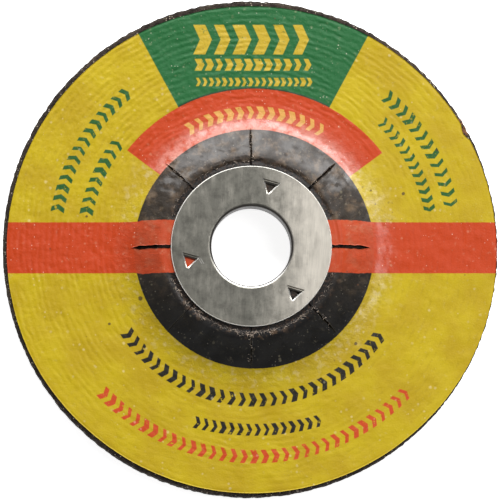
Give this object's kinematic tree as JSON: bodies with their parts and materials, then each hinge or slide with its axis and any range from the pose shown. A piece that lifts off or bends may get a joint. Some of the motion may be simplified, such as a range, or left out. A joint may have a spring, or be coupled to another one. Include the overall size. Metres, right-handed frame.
{
  "type": "grinding disc",
  "caption": "Depressed-centre grinding disc: moulded abrasive body with a raised hub, glass mesh, slit paper label and a steel centre ring with a collared bore.",
  "frame": {"origin": "on the disc's axis, in the plane of the grinding face that it rests on", "axes": "+Z along the bore out of the label side, +X towards the label's right-hand side, +Y towards the label's top"},
  "size_m": [0.1, 0.1, 0.0111],
  "materials": {
    "abrasive": "matte",
    "glass_cloth": "matte",
    "label_paper": "satin",
    "ring_steel": "satin"
  },
  "bodies": {
    "root": {"abrasive_body": "abrasive", "glass_mesh": "glass_cloth", "paper_label": "label_paper", "centre_ring": "ring_steel"}
  },
  "joints": []
}
